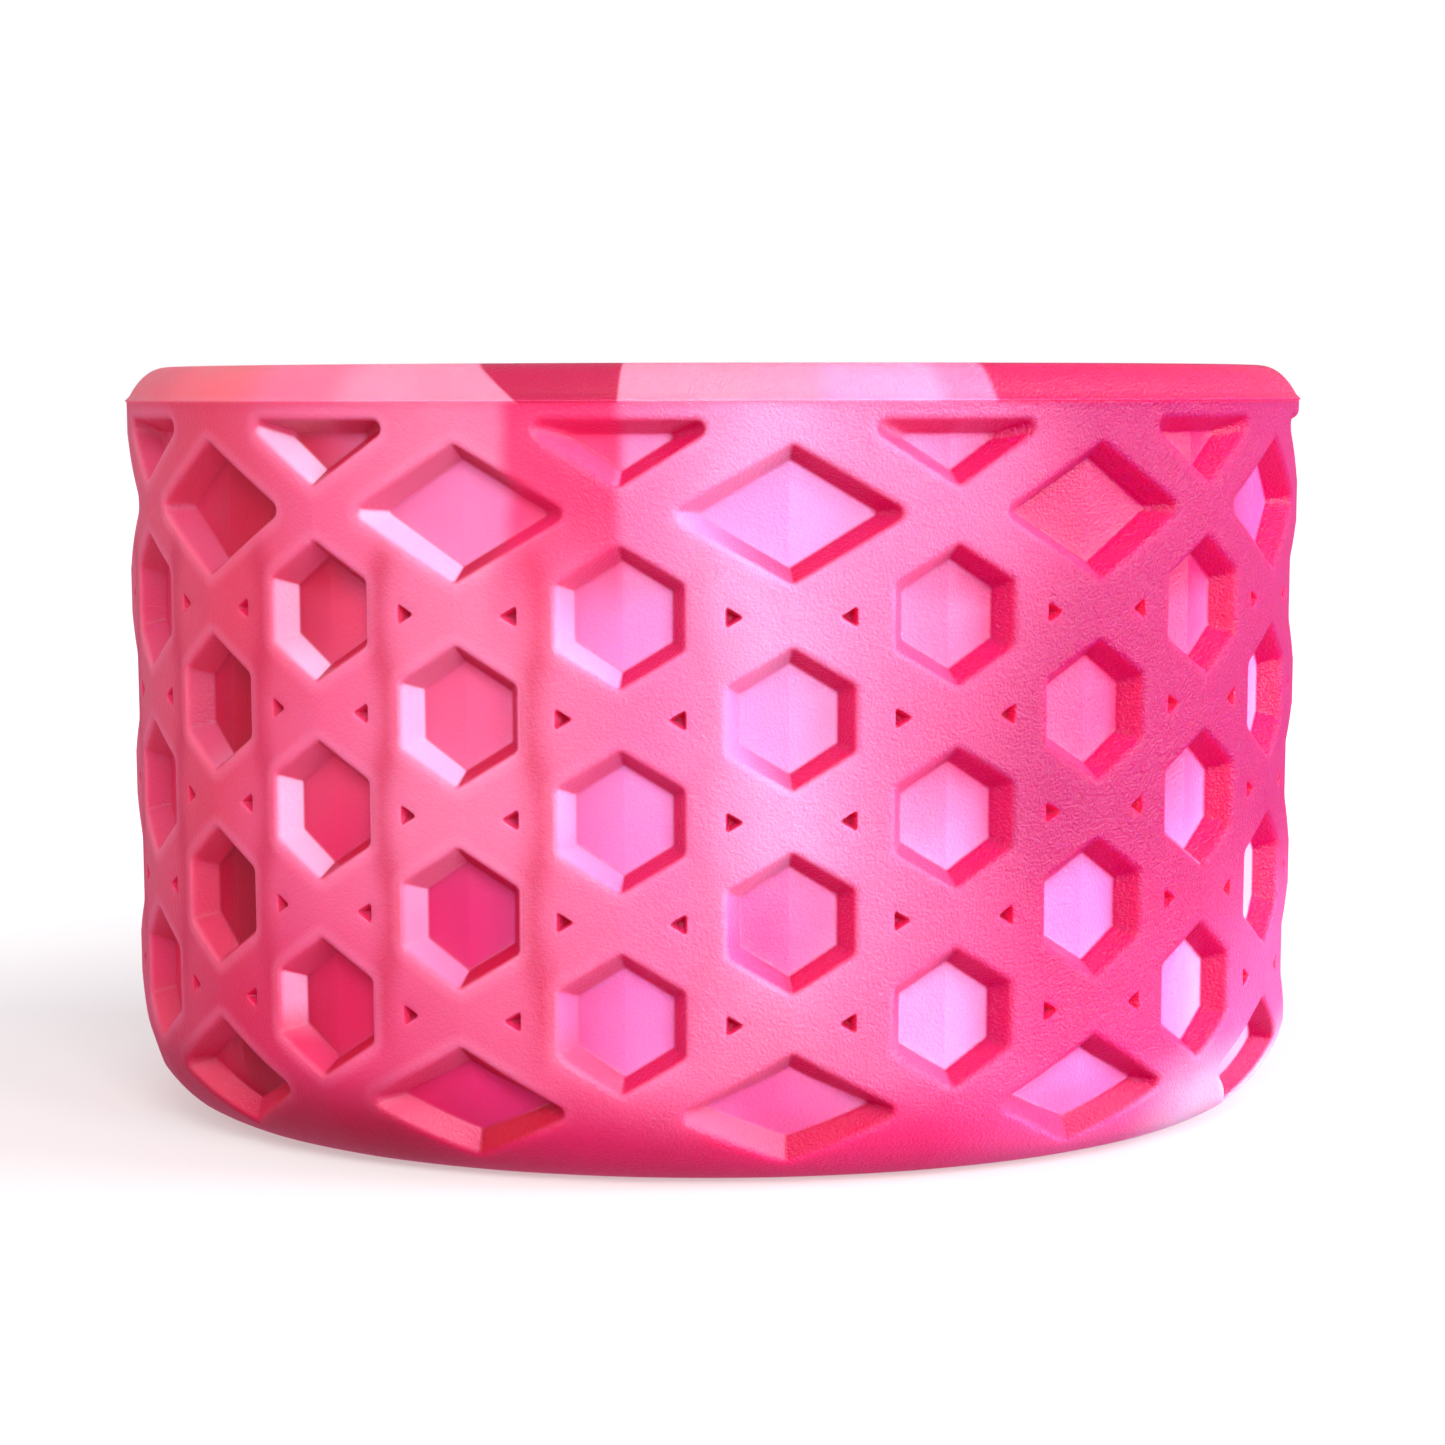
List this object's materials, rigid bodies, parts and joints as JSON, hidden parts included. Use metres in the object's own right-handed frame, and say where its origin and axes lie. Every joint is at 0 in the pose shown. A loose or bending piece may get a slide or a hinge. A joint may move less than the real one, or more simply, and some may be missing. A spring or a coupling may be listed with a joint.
{
  "type": "silicone bottle base sleeve",
  "caption": "Open-topped round silicone cup with a flat base, rounded lip and a lattice of drafted pockets all round its outside; slips over a bottle's base.",
  "frame": {"origin": "centre of the base, in the plane the sleeve stands on", "axes": "+Z along the sleeve's axis, up towards its open rim; -Y towards the side seen first, +X to that viewer's right"},
  "size_m": [0.0782, 0.0782, 0.049],
  "materials": {
    "base_silicone": "satin moulded",
    "coral_silicone": "satin moulded",
    "rose_silicone": "satin moulded",
    "crimson_silicone": "satin moulded",
    "blush_silicone": "satin moulded",
    "magenta_silicone": "satin moulded",
    "orchid_silicone": "satin moulded",
    "salmon_silicone": "satin moulded"
  },
  "bodies": {
    "root": {"base_disc": "base_silicone", "coral_wall": "coral_silicone", "rose_wall": "rose_silicone", "crimson_patch": "crimson_silicone", "blush_wall": "blush_silicone", "magenta_wall": "magenta_silicone", "orchid_wall": "orchid_silicone", "salmon_wall": "salmon_silicone"}
  },
  "joints": []
}
